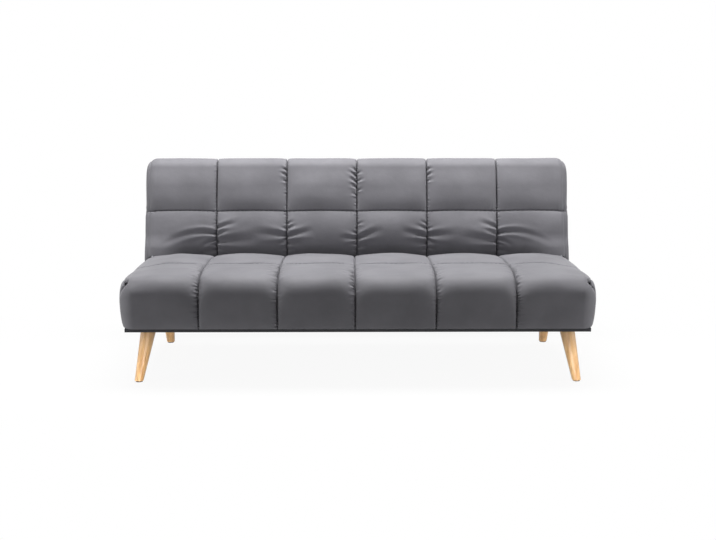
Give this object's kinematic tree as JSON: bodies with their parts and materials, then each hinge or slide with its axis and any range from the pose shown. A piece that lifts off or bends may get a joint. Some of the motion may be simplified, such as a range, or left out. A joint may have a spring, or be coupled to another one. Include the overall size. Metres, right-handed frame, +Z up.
{
  "type": "click clack sofa bed",
  "caption": "Armless tufted sofa on splayed tapered wooden legs whose backrest turns on ratchet hinges from sofa to lounge to flat bed.",
  "frame": {"origin": "bottom centre of the bounding box in the sofa pose, on the floor", "axes": "+X along the width, +Y to the back, +Z up"},
  "size_m": [1.824, 0.909, 0.7922],
  "materials": {
    "cover": "satin",
    "leg_wood": "satin",
    "frame_timber": "matte",
    "dark_board": "matte",
    "back_board": "matte",
    "black_cloth": "matte",
    "hinge_steel": "satin",
    "glide_plastic": "matte"
  },
  "bodies": {
    "seat": {"base_front_board": "dark_board", "base_left_board": "dark_board", "base_rear_board": "dark_board", "base_right_board": "dark_board", "dust_cover": "black_cloth", "front_left_foot_glide": "glide_plastic", "front_left_leg": "leg_wood", "front_left_leg_block": "frame_timber", "front_left_leg_bolt": "hinge_steel", "front_right_foot_glide": "glide_plastic", "front_right_leg": "leg_wood", "front_right_leg_block": "frame_timber", "front_right_leg_bolt": "hinge_steel", "left_pawl_pin": "hinge_steel", "left_pawl_spring": "hinge_steel", "left_pivot_bolt": "hinge_steel", "left_seat_plate": "hinge_steel", "left_seat_plate_bolt_1": "hinge_steel", "left_seat_plate_bolt_2": "hinge_steel", "rear_left_foot_glide": "glide_plastic", "rear_left_leg": "leg_wood", "rear_left_leg_block": "frame_timber", "rear_left_leg_bolt": "hinge_steel", "rear_right_foot_glide": "glide_plastic", "rear_right_leg": "leg_wood", "rear_right_leg_block": "frame_timber", "rear_right_leg_bolt": "hinge_steel", "right_pawl_pin": "hinge_steel", "right_pawl_spring": "hinge_steel", "right_pivot_bolt": "hinge_steel", "right_seat_plate": "hinge_steel", "right_seat_plate_bolt_1": "hinge_steel", "right_seat_plate_bolt_2": "hinge_steel", "seat_cushion": "cover", "seat_front_rail": "frame_timber", "seat_left_cross_rail": "frame_timber", "seat_left_rail": "frame_timber", "seat_rear_rail": "frame_timber", "seat_right_cross_rail": "frame_timber", "seat_right_rail": "frame_timber", "seat_springs": "hinge_steel"},
    "backrest": {"back_bottom_rail": "frame_timber", "back_cushion": "cover", "back_left_post": "frame_timber", "back_left_stile": "frame_timber", "back_panel": "back_board", "back_right_post": "frame_timber", "back_right_stile": "frame_timber", "back_top_rail": "frame_timber", "back_webbing": "black_cloth", "left_back_plate": "hinge_steel", "left_back_plate_bolt_1": "hinge_steel", "left_back_plate_bolt_2": "hinge_steel", "right_back_plate": "hinge_steel", "right_back_plate_bolt_1": "hinge_steel", "right_back_plate_bolt_2": "hinge_steel"},
    "left_pawl": {"left_pawl": "hinge_steel"},
    "right_pawl": {"right_pawl": "hinge_steel"}
  },
  "joints": [
    {"name": "backrest_recline", "type": "hinge", "parent": "seat", "child": "backrest", "pos_m": [0, 0.21983, 0.3786], "axis": [-1, 0, 0], "range_deg": [-12, 72.5]},
    {"name": "left_pawl_swing", "type": "hinge", "parent": "seat", "child": "left_pawl", "pos_m": [-0.874, 0.17283, 0.37229], "axis": [1, 0, 0], "range_deg": [0, 9]},
    {"name": "right_pawl_swing", "type": "hinge", "parent": "seat", "child": "right_pawl", "pos_m": [0.874, 0.17283, 0.37229], "axis": [1, 0, 0], "range_deg": [0, 9]}
  ]
}
